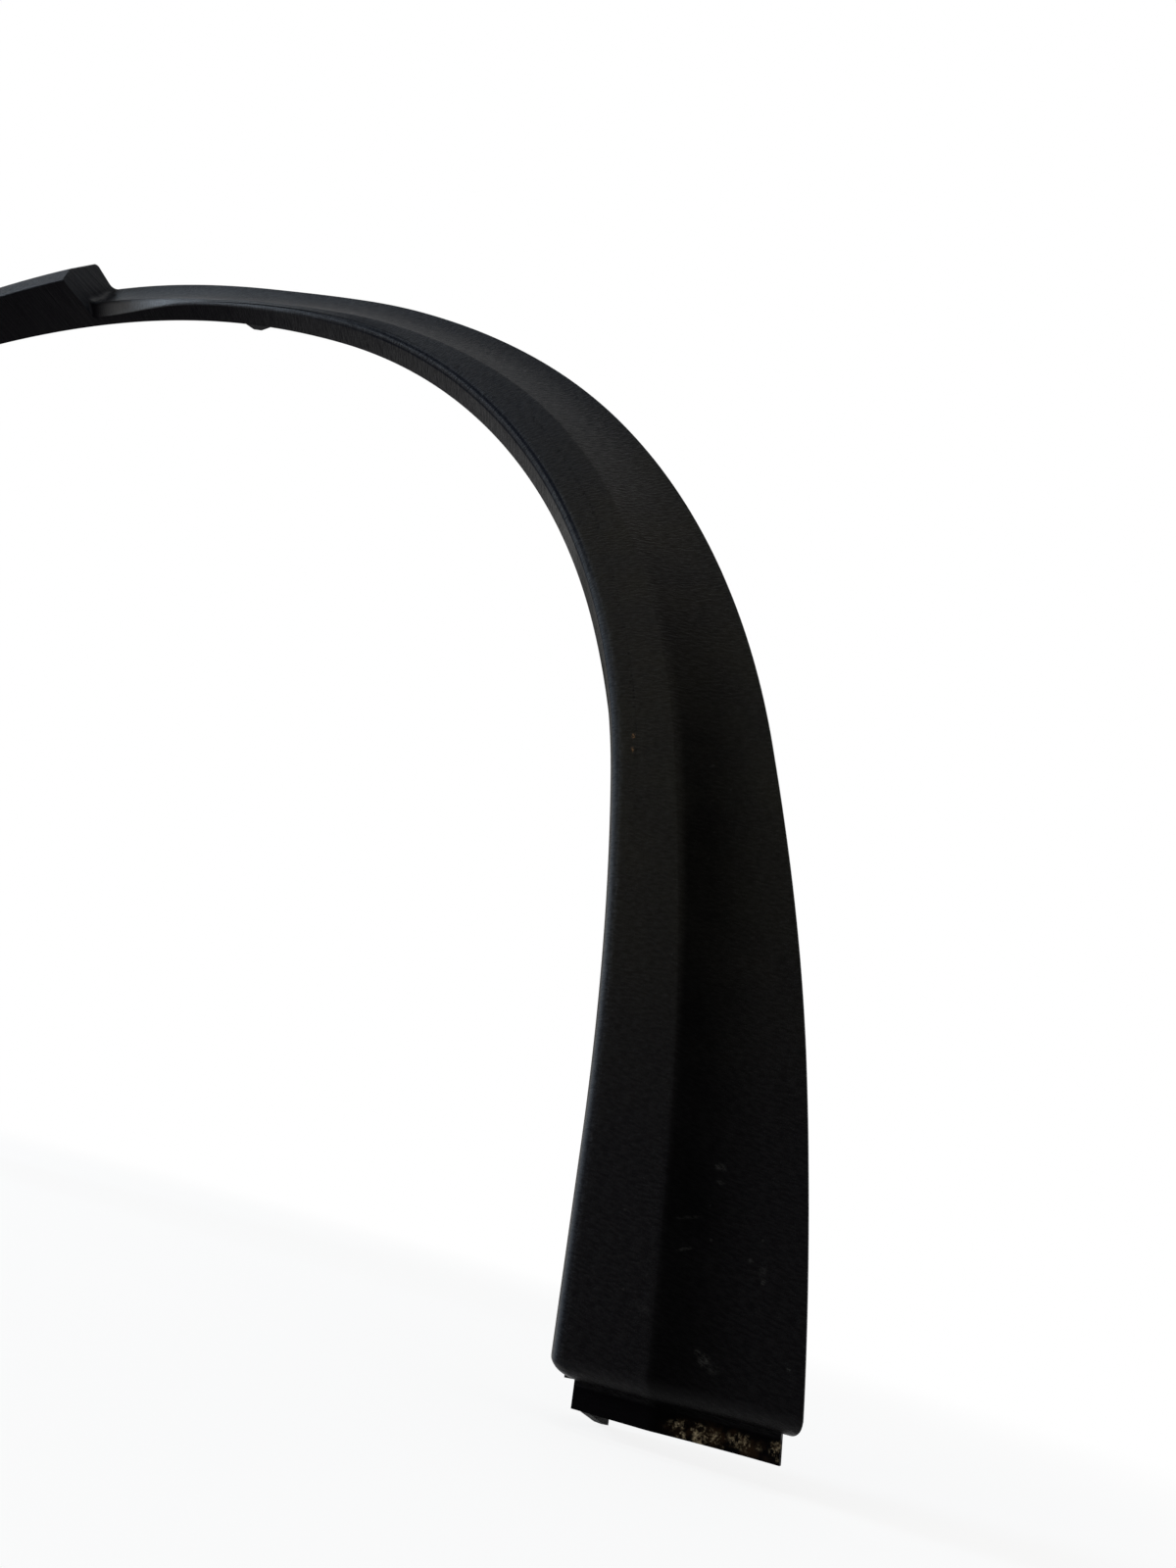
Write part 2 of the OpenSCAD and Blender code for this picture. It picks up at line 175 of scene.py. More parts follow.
# Fineness of the surface
RING_STEP = 4
TURN_N = 12
RIM_N = 10
CREASE_N = 6
BROW_N = 7
FACE_N = 24
WALL_STOPS = (0, 0.25, 0.5, 0.75)
FLAT_STOPS = (0.3, 0.4, 0.5, 0.6, 0.7, 0.8, 0.9)


def mix(a, b, t):
    return a + (b - a) * t


def slope(t, i):
    if i == 0 or i == len(t) - 1:
        return 0
    before = t[i][1] - t[i - 1][1]
    after = t[i + 1][1] - t[i][1]
    return 0 if before * after <= 0 else (before + after) / (t[i + 1][0] - t[i - 1][0])


def curve(x, t):
    """Height at x of the smooth curve through the points t."""
    c = min(max(x, t[0][0]), t[-1][0])
    i = max(j for j in range(len(t) - 1) if c >= t[j][0])
    w = t[i + 1][0] - t[i][0]
    k = (c - t[i][0]) / w
    ends = (2 * k**3 - 3 * k**2 + 1) * t[i][1] + (3 * k**2 - 2 * k**3) * t[i + 1][1]
    return ends + w * ((k**3 - 2 * k**2 + k) * slope(t, i) + (k**3 - k**2) * slope(t, i + 1))


def inset(a, c, b, d):
    """Corner c between a and b, moved in by d."""
    p = (a - c).normalized()
    q = (b - c).normalized()
    return c + (p + q).normalized() * (d / math.sin(math.acos(p.dot(q)) / 2))


def rounded(a, c, b, r, n):
    """Corner c between a and b, rounded by an arc of n steps."""
    p = (a - c).normalized()
    q = (b - c).normalized()
    half = math.acos(p.dot(q)) / 2
    middle = inset(a, c, b, r)
    start = c + p * (r / math.tan(half)) - middle
    turn = (1 if p.x * q.y - p.y * q.x < 0 else -1) * (math.pi - 2 * half)
    return [middle + Matrix.Rotation(turn * i / n, 2) @ start for i in range(n + 1)]


def angle(s):
    d = abs(s)
    if d < TOP_L:
        a = d / TOP_R
    elif d < KNEE_S:
        a = TOP_ANGLE + (d - TOP_L) / SIDE_R
    else:
        a = min(KNEE_ANGLE + (d - KNEE_S) / KNEE_R, math.pi / 2 - LEG_LEAN)
    return math.copysign(a, s)


def normal(s):
    return Vector((math.sin(angle(s)), math.cos(angle(s))))


def line(s):
    """Point of the arch's line at the way s along it from the top."""
    d = abs(s)
    n = normal(d)
    if d < TOP_L:
        p = TOP_C + TOP_R * n
    elif d < KNEE_S:
        p = SIDE_C + SIDE_R * n
    else:
        p = KNEE_C + KNEE_R * n + max(0, d - KNEE_S - KNEE_L) * Vector((n.y, -n.x))
    return Vector((math.copysign(p.x, s), p.y))


ORIGIN = line(-LOCATOR_S) + BLOCK_CLIP_U * normal(-LOCATOR_S)


def row_point(x, z, inboard):
    """A point of the wheel's frame, in mm, as a point of the row's frame, in metres."""
    return Vector((x - ORIGIN.x, inboard, z - ORIGIN.y)) * MM


def face_w(s):
    return curve(s, [(0, TOP_W), (NECK_S, NECK_W), (HAUNCH_S, HAUNCH_W), (SHOULDER_S, SHOULDER_W),
                     (KNEE_S, KNEE_W), (ANKLE_S, ANKLE_W), (HALF_L, FOOT_W)])


def band_w(s):
    return curve(s, [(0, TOP_BAND_W), (NECK_S, NECK_BAND_W), (HAUNCH_S, HAUNCH_BAND_W),
                     (SHOULDER_S, SHOULDER_BAND_W), (KNEE_S, KNEE_BAND_W), (HALF_L, FOOT_BAND_W)])


def rim_v(s):
    return curve(s, [(-BLOCK_S, DIP_H), (NECK_S / 2, RISE_H), (NECK_S, NECK_RIM_H), (HAUNCH_S, RIM_H)])


def skirt_v(s):
    leg = curve(abs(s), [(mix(SHOULDER_S, KNEE_S, SKIRT_START), 0), (HALF_L - LEG_L / 2, SKIRT)])
    return max(leg, curve(-s, [(-NECK_S, 0), (LOCATOR_S + BLOCK_S, BLOCK_SKIRT)]))


def level(s):
    return FOOT_SLANT * curve(abs(s), [(HALF_L - LEG_L, 0), (HALF_L - TURN_L, 1)])


def face_v(t):
    return EDGE_T + (CREASE_H - EDGE_T) * (1 - t) ** HOLLOW


def wall_points(s, d, foot, rim, arc_start):
    """The inner wall, from its back edge to where its rolled edge begins."""
    back = Vector((d, -skirt_v(s)))
    low = mix(foot, rim, DRAFT_START)
    return [mix(back, low, t) for t in WALL_STOPS] + [low, mix(low, arc_start, 0.5)]


def arch_skin(s, d):
    """Half section of the arch, d mm inside the show surface."""
    rv = rim_v(s)
    w = face_w(s)
    band = band_w(s)
    foot = Vector((0, 0))
    rim = Vector((DRAFT * (rv / RIM_H) ** DRAFT_RISE, rv))
    crease = Vector((band, CREASE_H))
    lower = Vector((mix(band, w, CREASE_REACH), face_v(CREASE_REACH)))
    in_foot = Vector((d, 0))
    in_rim = inset(foot, rim, crease, d) if d else rim
    in_crease = inset(rim, crease, lower, d) if d else crease
    in_lower = lower - Vector((0, d))
    rim_round = curve(s, [(0, TOP_RIM_R), (SHOULDER_S, RIM_R)])
    rim_arc = rounded(in_foot, in_rim, in_crease, max(rim_round - d, LEAST_R), RIM_N)
    stops = [i / FACE_N for i in range(1, FACE_N + 1)]
    return (wall_points(s, d, in_foot, in_rim, rim_arc[0]) + rim_arc
            + [mix(in_rim, in_crease, t) for t in FLAT_STOPS]
            + rounded(in_rim, in_crease, in_lower, max(CREASE_R - d, LEAST_R), CREASE_N)
            + [Vector((mix(band, w, t), max(face_v(t) - d, 0))) for t in stops]
            + [Vector((w, 0 if d else EDGE_T / 2))])


def fade(far):
    """Share of the block's height that is left so far from the top, from 1 at its end face to 0."""
    return max(0, 1 - (far - BLOCK_S) / (HALF_L - BLOCK_S)) ** BLOCK_FALL


def block_skin(s, d):
    """Half section of the raised block, d mm inside the show surface."""
    far = abs(s)
    out = face_w(far)
    h = mix(BLOCK_FOOT_H, BLOCK_H, fade(far))
    land = curve(far, [(BLOCK_S, LAND_W), (HALF_L, LAND_FOOT_W)])
    side = mix(SIDE_FOOT_H, SIDE_H, fade(far))
    proud = curve(far, [(BLOCK_S, SIDE_OUT), (HALF_L, SIDE_FOOT_OUT)])
    foot = Vector((0, 0))
    top = Vector((DRAFT * h / BLOCK_H / 2, h))
    shelf = top + land * Vector((1, -LAND_FALL))
    brow = Vector((out + proud, side))
    edge = Vector((out, 0))
    in_foot = Vector((d, 0))
    in_edge = edge - in_foot
    in_top = inset(foot, top, shelf, d) if d else top
    in_shelf = inset(top, shelf, brow, d) if d else shelf
    in_brow = inset(shelf, brow, edge, d) if d else brow
    rim_arc = rounded(in_foot, in_top, in_shelf, max(BLOCK_RIM_R - d, LEAST_R), RIM_N)
    ridge_arc = rounded(in_top, in_shelf, in_brow, max(RIDGE_R - d, LEAST_R), CREASE_N)
    brow_arc = rounded(in_shelf, in_brow, in_edge, max(BROW_R - d, LEAST_R), BROW_N)
    side_n = FACE_N - BROW_N
    return (wall_points(s, d, in_foot, in_top, rim_arc[0]) + rim_arc
            + [mix(in_top, in_shelf, t) for t in FLAT_STOPS] + ridge_arc
            + [mix(ridge_arc[-1], brow_arc[0], i / side_n) for i in range(1, side_n)]
            + brow_arc + [in_edge])


def run(a, b):
    n = math.ceil(abs(b - a) / RING_STEP)
    return [mix(a, b, i / n) for i in range(1, n)]


def foot_rings(side):
    turns = [math.pi / 2 * i / TURN_N for i in range(TURN_N + 1)]
    return [(side * (HALF_L - TURN_L * (1 - math.sin(w))), -side * WALL_T * math.sin(w),
             RISEN if side < 0 else 0, 1 - math.cos(w), 0) for w in turns]


def all_rings():
    """Place, lag of the inside, rise to the block, turn-in at a foot, and how far short it stays.

    Two rings between the block's rounded edge and its fillet keep the end face flat.
    """
    end_s = -BLOCK_S - END_LEAN
    turns = [math.pi / 2 * i / TURN_N for i in range(TURN_N, -1, -1)]
    fillet = [(-BLOCK_S + FILLET_R * (1 - math.sin(w)), -WALL_T * math.sin(w), 1 - math.cos(w), 0, 0)
              for w in turns]
    edge = [(end_s - END_R * (1 - math.cos(w)), -WALL_T, RISEN, 0, END_R * (1 - math.sin(w)))
            for w in turns]
    return (foot_rings(-1)[::-1]
            + [(s, 0, RISEN, 0, 0) for s in run(TURN_L - HALF_L, end_s - FILLET_R)]
            + [(end_s - FILLET_R, 0, RISEN, 0, 0)] + edge
            + [(end_s, -WALL_T, RISEN, 0, END_R + END_CLEAR), (-BLOCK_S, -WALL_T, FILLET_CLEAR, 0, 0)]
            + fillet
            + [(s, 0, 0, 0, 0) for s in run(FILLET_R - BLOCK_S, HALF_L - TURN_L)]
            + foot_rings(1))


def lifted(a, b, h, short):
    """Point h mm of the way from a to b, at most to the stated distance short of b."""
    far = (b - a).length
    return b if far < MM else mix(a, b, max(0, min(h, far - short) / far))


def skin(ring, d):
    place, lag, rise, turn, short = ring
    s = place + (lag if d else 0)
    arch = arch_skin(s, d)
    block = block_skin(s, d)
    up = rise * (FILLET_R + d if rise < RISEN else 1)
    w = face_w(abs(s))
    n = normal(s)
    points = []
    for a, b in zip(arch, block):
        p = lifted(a, b, up, short)
        k = (w - (TURN_U + TURN_EDGE - d) * turn) / w
        u = p.x * k + (TURN_U - d) * turn
        v = p.y - (0 if p.y < 0 else (TURN_H - d) * turn)
        o = line(s + math.copysign(level(s), s) * u)
        points.append(row_point(o.x + u * n.x, o.y + u * n.y, -v))
    return points


def mesh_object(name, points, faces):
    mesh = bpy.data.meshes.new(name)
    mesh.from_pydata(points, [], faces)
    mesh.update()
    bm = bmesh.new()
    bm.from_mesh(mesh)
    bmesh.ops.recalc_face_normals(bm, faces=bm.faces)
    bm.to_mesh(mesh)
    bm.free()
    piece = bpy.data.objects.new(name, mesh)
    bpy.context.scene.collection.objects.link(piece)
    return piece


def make_shell():
    """The moulding's shell, swept ring by ring, with its two ends capped."""
    points = []
    rings = all_rings()
    for ring in rings:
        outside = skin(ring, 0)
        points += outside + skin(ring, WALL_T)[::-1]
    around = 2 * len(outside)
    faces = [(j * around + i, j * around + (i + 1) % around, (j + 1) * around + (i + 1) % around,
              (j + 1) * around + i) for j in range(len(rings) - 1) for i in range(around)]
    for j in (0, len(rings) - 1):
        start = j * around
        faces += [(start + i, start + i + 1, start + around - 2 - i, start + around - 1 - i)
                  for i in range(len(outside) - 1)]
    return mesh_object("moulding", points, faces)


def seat_point(s, u, t, z):
    """Row point at u outwards, t towards the foot and z inboard of the place s."""
    a = abs(s)
    n = normal(a)
    p = line(a) + n * float(u) + Vector((n.y, -n.x)) * float(t)
    return row_point(math.copysign(p.x, s), p.y, float(z))


def prism(name, s, outline, low, high, plane):
    """A solid over an outline in the plane ut, uz or tz at a place on the arch."""
    def spot(a, b, c):
        return {"ut": (a, b, c), "uz": (a, c, b), "tz": (c, a, b)}[plane]
    n = len(outline)
    points = [seat_point(s, *spot(a, b, c)) for c in (low, high) for a, b in outline]
    faces = [tuple(range(n)), tuple(range(2 * n - 1, n - 1, -1))]
    faces += [(i, (i + 1) % n, n + (i + 1) % n, n + i) for i in range(n)]
    return mesh_object(name, points, faces)


def section_v(s, us):
    """Height of the middle of the face's thickness at each u."""
    skin_points = (block_skin if s < -BLOCK_S else arch_skin)(s, WALL_T / 2)[len(WALL_STOPS) + 2:]
    far = max(range(len(skin_points)), key=lambda i: skin_points[i].x)
    return np.interp(us, [p.x for p in skin_points[:far + 1]], [p.y for p in skin_points[:far + 1]])


def clip_u(s):
    return BLOCK_CLIP_U if -CLIP_S < s < 0 else band_w(abs(s)) / 2 + CLIP_OUT


def clip_seat(s):
    """A plate with a keyhole slot for a clip, on two ribs."""
    u = clip_u(s)
    half = HEAD_R + SEAT_EDGE
    hole = NECK_R + SEAT_GAP
    first = math.asin(NECK_R / hole)
    arc = [mix(first, 2 * math.pi - first, i / 32) for i in range(33)]
    outline = [(half, -half), (-half, -half), (-half, half), (half, half)]
    outline += [(half, NECK_R)] + [(hole * math.cos(a), hole * math.sin(a)) for a in arc] + [(half, -NECK_R)]
    solids = [prism("plate", s, [(u + a, b) for a, b in outline], -PLATE_V - PLATE_T, -PLATE_V, "ut")]
    us = np.linspace(u - half - LAP, u + half + LAP, 7)
    for side in (-1, 1):
        middle = side * (half + LAP - RIB_T / 2)
        place = s + middle
        low = -PLATE_V - PLATE_T / 2
        roof = [(a, -b) for a, b in zip(us[::-1], section_v(place, us)[::-1])]
        outline = [(us[0], low), (us[-1], low)] + roof
        solids.append(prism("rib", place, outline, -RIB_T / 2, RIB_T / 2, "uz"))
    return solids


def foot_tab():
    """The joggled tab below the wide foot, with the wall on its inner side."""
    to = FOOT_W - TAB_INSET
    section = arch_skin(HALF_L, 0)[len(WALL_STOPS) + 2:-1]
    us = np.linspace(TAB_U, to, 41)
    vs = np.interp(us, [p.x for p in section], [p.y for p in section]) - TURN_H + LAP
    points = []
    for u, v in zip(us, vs):
        root = u * FOOT_SLANT
        tip = root + mix(TAB_L, TAB_OUTER_L, (u - TAB_U) / (to - TAB_U))
        points += [seat_point(HALF_L, u, t, z) for t, z in
                   ((root - WALL_T, -v), (tip, -v), (tip, WALL_T - v), (root - WALL_T, WALL_T - v))]
    faces = [(i * 4 + k, i * 4 + (k + 1) % 4, i * 4 + 4 + (k + 1) % 4, i * 4 + 4 + k)
             for i in range(len(us) - 1) for k in range(4)]
    last = 4 * (len(us) - 1)
    plate = mesh_object("tab", points, faces + [(0, 1, 2, 3), (last, last + 1, last + 2, last + 3)])
    middle = WALL_T / 2 - vs[0]
    deep = SKIRT - TONGUE_SHORT
    root = TAB_U * FOOT_SLANT
    outline = [(-WALL_T / 2, middle), (-WALL_T / 2, deep), (TAB_L + TONGUE_L, deep),
               (TAB_L + TONGUE_L * BEND_OUT, deep * BEND_DEPTH), (TAB_L - LAP, middle)]
    tongue = prism("tongue", HALF_L, [(root + t, z) for t, z in outline],
                   TAB_U + LAP / 2, TAB_U + LAP / 2 + WALL_T, "tz")
    t = TURN_U * FOOT_SLANT - WALL_T + LAP / 2
    web = prism("web", HALF_L, [(t, 0), (t + WALL_T, 0), (t + WALL_T, deep - LAP), (t, deep - LAP)],
                TURN_U - WALL_T, TAB_U + LAP, "tz")
    return [plate, tongue, web]


def lug():
    half = LUG_W / 2
    outline = [(-half, -LAP), (half, -LAP), (half, LUG_L * LUG_END), (0, LUG_L),
               (LUG_L * LUG_RAKE - half, LUG_L), (-half, LUG_L * LUG_END)]
    return [prism("lug", LUG_S, outline, LAP, WALL_T - LAP, "tz")]


def merged(solids):
    """Solids that don't touch, as one object."""
    bpy.ops.object.select_all(action="DESELECT")
    for solid in solids:
        solid.select_set(True)
    bpy.context.view_layer.objects.active = solids[0]
    bpy.ops.object.join()
    return solids[0]


def join_solids(base, layers):
    """One closed surface of the shell and everything that is moulded with it."""
    for solids in layers:
        solid = merged(solids)
        bpy.context.view_layer.objects.active = base
        cut = base.modifiers.new("join", "BOOLEAN")
        cut.operation = "UNION"
        cut.solver = "MANIFOLD"
        cut.object = solid
        bpy.ops.object.modifier_apply(modifier=cut.name)
        bpy.data.objects.remove(solid)
    base.data.materials.clear()
    base.data.polygons.foreach_set("material_index", [0] * len(base.data.polygons))


def arch_coordinates(x, z):
    """Way along the arch, and way out from its line, of a point of the wheel's frame."""
    side = -1 if x < 0 else 1
    p = Vector((abs(x), z))
    for centre, r, start, first, last in ((TOP_C, TOP_R, 0, 0, TOP_ANGLE),
                                          (SIDE_C, SIDE_R, TOP_L, TOP_ANGLE, KNEE_ANGLE),
                                          (KNEE_C, KNEE_R, KNEE_S, KNEE_ANGLE, math.pi / 2 - LEG_LEAN)):
        way = p - centre
        a = math.atan2(way.x, way.y)
        if a < last:
            return side * (start + r * (a - first)), way.length - r
    n = normal(HALF_L)
    way = p - line(HALF_L - LEG_L)
    return side * (HALF_L - LEG_L + way.x * n.y - way.y * n.x), way.dot(n)


def map_arch(piece):
    """A UV map that holds the way along the arch and the way out from it, in metres."""
    mesh = piece.data
    spots = [arch_coordinates(v.co.x / MM + ORIGIN.x, v.co.z / MM + ORIGIN.y) for v in mesh.vertices]
    uv = mesh.uv_layers.get("arch") or mesh.uv_layers.new(name="arch")
    for corner in mesh.loops:
        s, u = spots[corner.vertex_index]
        uv.data[corner.index].uv = (s * MM, u * MM)


def smooth(piece, sharp_degrees):
    mesh = piece.data
    mesh.polygons.foreach_set("use_smooth", [True] * len(mesh.polygons))
    mesh.set_sharp_from_angle(angle=math.radians(sharp_degrees))


class Nodes:
    """Short calls for building a material's nodes."""

    def __init__(self, name):
        self.material = bpy.data.materials.new(name)
        self.material.use_nodes = True
        self.tree = self.material.node_tree
        self.shader = self.tree.nodes["Principled BSDF"]

    def add(self, kind, **values):
        node = self.tree.nodes.new(kind)
        for key, value in values.items():
            setattr(node, key, value)
        return node

    def link(self, source, target):
        if hasattr(source, "is_output"):
            self.tree.links.new(source, target)
        else:
            target.default_value = source

    def math(self, operation, a, b=0.0):
        node = self.add("ShaderNodeMath", operation=operation)
        self.link(a, node.inputs[0])
        self.link(b, node.inputs[1])
        return node.outputs[0]

    def times(self, first, *others):
        for value in others:
            first = self.math("MULTIPLY", first, value)
        return first

    def most(self, first, *others):
        for value in others:
            first = self.math("MAXIMUM", first, value)
        return first

    def split(self, vector):
        node = self.add("ShaderNodeSeparateXYZ")
        self.link(vector, node.inputs[0])
        return node.outputs

    def cells(self, vector, scale):
        """Distance to the nearest of many scattered points."""
        node = self.add("ShaderNodeTexVoronoi")
        self.link(vector, node.inputs["Vector"])
        node.inputs["Scale"].default_value = scale
        return node.outputs["Distance"]

    def noise(self, vector, scale, detail=3.0, roughness=0.55):
        node = self.add("ShaderNodeTexNoise")
        self.link(vector, node.inputs["Vector"])
        node.inputs["Scale"].default_value = scale
        node.inputs["Detail"].default_value = detail
        node.inputs["Roughness"].default_value = roughness
        return node.outputs["Fac"]

    def ramp(self, value, low, high, to_low=0.0, to_high=1.0):
        node = self.add("ShaderNodeMapRange", interpolation_type="SMOOTHSTEP")
        self.link(value, node.inputs["Value"])
        for key, number in (("From Min", low), ("From Max", high), ("To Min", to_low), ("To Max", to_high)):
            node.inputs[key].default_value = number
        return node.outputs[0]

    def between(self, value, start, end, after=0.0):
        """A mask that rises over the span start, and over the span end falls to the share after."""
        return self.times(self.ramp(value, *start), self.ramp(value, *end, 1.0, after))

    def blend(self, share, a, b):
        node = self.add("ShaderNodeMix", data_type="RGBA")
        for value, name in ((share, "Factor_Float"), (a, "A_Color"), (b, "B_Color")):
            self.link(value, next(i for i in node.inputs if i.identifier == name))
        return next(o for o in node.outputs if o.identifier == "Result_Color")

    def scaled(self, vector, scale, shift=(0, 0, 0), turn=0.0):
        node = self.add("ShaderNodeVectorRotate", rotation_type="Z_AXIS")
        self.link(vector, node.inputs["Vector"])
        node.inputs["Angle"].default_value = turn
        mapping = self.add("ShaderNodeMapping")
        self.link(node.outputs[0], mapping.inputs["Vector"])
        mapping.inputs["Scale"].default_value = scale
        mapping.inputs["Location"].default_value = shift
        return mapping.outputs[0]

    def bump(self, height, strength, distance, below=None):
        node = self.add("ShaderNodeBump")
        node.inputs["Strength"].default_value = strength
        node.inputs["Distance"].default_value = distance
        self.link(height, node.inputs["Height"])
        if below:
            self.link(below, node.inputs["Normal"])
        return node.outputs[0]


def spot(n, uv, s, u, half_s, half_u, turn=0, soft=0.25):
    """A soft oval mask round a place on the arch, in mm, turned by an angle from across the leg."""
    centred = n.scaled(uv, (1, 1, 0), (-s * MM, -u * MM, 0))
    turned = n.scaled(centred, (1 / (half_s * MM), 1 / (half_u * MM), 0), turn=turn)
    far = n.add("ShaderNodeVectorMath", operation="LENGTH")
    n.link(turned, far.inputs[0])
    return n.ramp(far.outputs["Value"], soft, 1.0, 1.0, 0.0)


BLACK = (0.0018, 0.0015, 0.0021, 1)
# Greyer, bluer plastic: partly weathering, partly painted top light and sky sheen
FADED_AND_TOP_LIT = (0.0068, 0.0078, 0.0105, 1)
# Painted blue highlight of the window on the rolled edge
BLUE_RIM_HIGHLIGHT = (0.004, 0.009, 0.016, 1)
# Painted dark reflection on the flanks of the rolled edge
NAVY_DARK_REFLECTION = (0.0013, 0.0017, 0.0035, 1)
# Lighter back: partly bare plastic, partly painted light
BARE_AND_LIGHTENED_BACK = (0.014, 0.014, 0.0145, 1)
DUSTY = (0.0066, 0.006, 0.0042, 1)
SCUFFED = (0.032, 0.031, 0.029, 1)
# Black of the pits, and of the painted shade in the hollow beside the crease
PIT_AND_SHADE_BLACK = (0.0005, 0.0005, 0.0005, 1)
RUST = (0.08, 0.043, 0.018, 1)
STAIN = (0.02, 0.011, 0.006, 1)
SOIL = (0.26, 0.205, 0.13, 1)
OLD_NYLON = (0.62, 0.59, 0.5, 1)
NYLON = (0.72, 0.7, 0.63, 1)

# Ranges of the black plastic's specular level and roughness
GLOSS = (0.022, 0.048)
ROUGHNESS = (0.36, 0.43)

# Scuffs on the face: way along, way out, half length, half width, turn, strength
SCUFFS = ((630, 49, 1.6, 2.6, 0.3, 0.5), (634.5, 49.5, 0.8, 1.8, 0.2, 0.35), (646, 41, 0.8, 6, -0.2, 0.2),
          (655, 41, 0.7, 3.5, -0.3, 0.3), (655.5, 60.5, 0.9, 1.3, 0.2, 0.45),
          (661, 64.5, 1.3, 1.0, 0.4, 0.6), (658, 64, 2.6, 1.8, 0.4, 0.2), (682.5, 47.5, 1, 1.5, 0.4, 0.6),
          (684.5, 49.5, 2.5, 2.4, 0.4, 0.6), (686, 52, 2.2, 3, 0.4, 0.3), (683, 73.5, 0.7, 1, 0.3, 0.6),
          (673, 31, 1.5, 5, 0.2, 0.15), (497, 41, 1, 1.5, 0.6, 0.25), (455, 27, 1.2, 1.5, 0.5, 0.2))


class Where:
    """Where a point of the moulding lies, which way it faces, and the noises that marks share."""

    def __init__(self, n):
        self.place = n.add("ShaderNodeTexCoord").outputs["Object"]
        self.height = n.split(self.place)[2]
        self.uv = n.add("ShaderNodeUVMap", uv_map="arch").outputs[0]
        self.along, self.out = n.split(self.uv)[:2]
        self.x, self.y, self.z = n.split(n.add("ShaderNodeNewGeometry").outputs["Normal"])
        self.outboard = n.ramp(self.y, -0.7, -0.4, 1.0, 0.0)
        foot_end = n.math("ADD", HALF_L * MM, n.times(self.out, FOOT_SLANT))
        self.below_foot = n.math("SUBTRACT", self.along, foot_end)
        self.on_tab = n.ramp(self.below_foot, 0.0008, 0.0018)
        self.cloud = n.noise(self.place, 18, 4)
        self.haze = n.noise(n.scaled(self.uv, (38, 26, 0), turn=0.6), 1, 4, 0.6)
        self.leather = n.noise(n.scaled(self.uv, (1250, 330, 0), turn=0.3), 1, 3, 0.6)


def fade_and_top_light_mask(n, at):
    """The top of the arch and the faces that look up are greyer and bluer than the legs: partly weathering,
    partly painted top light and sky sheen.
    """
    mask = n.times(n.ramp(at.height, -0.32, 0.0), n.ramp(at.z, -0.7, 0.1))
    return n.times(mask, n.ramp(at.cloud, 0.2, 0.8, 0.75, 1.0))


def dust_mask(n, at):
    """Brown dust on the shoulder and the upper leg."""
    mask = n.between(at.along, (0.3, 0.4), (0.52, 0.64), 0.1)
    return n.times(mask, n.ramp(at.haze, 0.3, 0.75, 0.55, 0.95))


def tool_marks(n, at):
    """Pits, the step that they lie along, and both as one flaw, where the tool marked the band."""
    drift = n.math("ADD", at.out, n.ramp(at.along, 0.37, 0.44, 0.0, 0.0026))
    reach = n.between(at.along, (0.25, 0.33), (0.46, 0.54))
    lane = n.between(drift, (0.0146, 0.0166), (0.0171, 0.0174))
    groove = n.times(n.ramp(drift, 0.0164, 0.0171), lane, reach)
    pits = n.times(n.ramp(n.cells(at.place, 620), 0.25, 0.45, 1.0, 0.0),
                   n.ramp(n.noise(at.place, 240, 2), 0.38, 0.5), lane, reach)
    step = n.times(n.ramp(drift, 0.0171, 0.0175), reach)
    return pits, step, n.most(pits, n.times(groove, 0.3))


def hollow_shade_mask(n, at):
    """Painted shade in the hollow beside the crease, which is also duller than the band; it fades outwards.
    """
    past = n.math("SUBTRACT", at.out, n.math("ADD", n.times(at.along, 0.023), 0.0184))
    mask = n.between(past, (-0.0015, 0.0025), (0.006, 0.03), 0.25)
    return n.times(mask, n.ramp(at.along, 0.36, 0.54), n.ramp(at.haze, 0.3, 0.7, 1.0, 0.75))


def dark_reflection_flank_mask(n, at):
    """The flanks on both sides of the rolled edge's highlight, painted dark navy as a reflection of dark
    things, and duller.
    """
    outer = n.times(n.between(at.y, (-0.985, -0.95), (-0.9, -0.82)),
                    n.ramp(at.along, 0.37, 0.43, 1.0, 0.35))
    mask = n.most(n.between(at.y, (-0.7, -0.56), (-0.5, -0.44)), outer)
    return n.times(mask, n.ramp(at.out, 0.009, 0.014, 1.0, 0.0), n.ramp(at.along, 0.12, 0.22))


def shine_level(n, at, rolled, back):
    """Reflection that comes on top of the plain plastic's."""
    neck = n.times(n.between(at.along, (-0.014, 0.01), (0.012, 0.055), 0.14),
                   n.ramp(at.along, 0.09, 0.16, 1.0, 0.0), at.outboard,
                   n.ramp(at.out, 0.0046, 0.0066, 1.0, 0.0))
    streak = n.times(spot(n, at.uv, 78, 6.3, 72, 0.9, 0, 0.3), at.outboard)
    block_end = n.times(n.ramp(at.x, 0.5, 0.9), n.ramp(at.along, -0.02, -0.016),
                        n.ramp(at.along, -0.013, 0.0, 1.0, 0.0))
    leg_edge = n.times(rolled, n.ramp(at.along, 0.45, 0.6))
    foot_turn = n.between(at.below_foot, (-0.007, -0.003), (-0.0005, 0.0005))
    return n.most(n.times(neck, 0.5), n.times(streak, 0.06), n.times(block_end, 0.06),
                  n.times(leg_edge, 0.1), n.times(foot_turn, 0.04), n.times(back, 0.25))


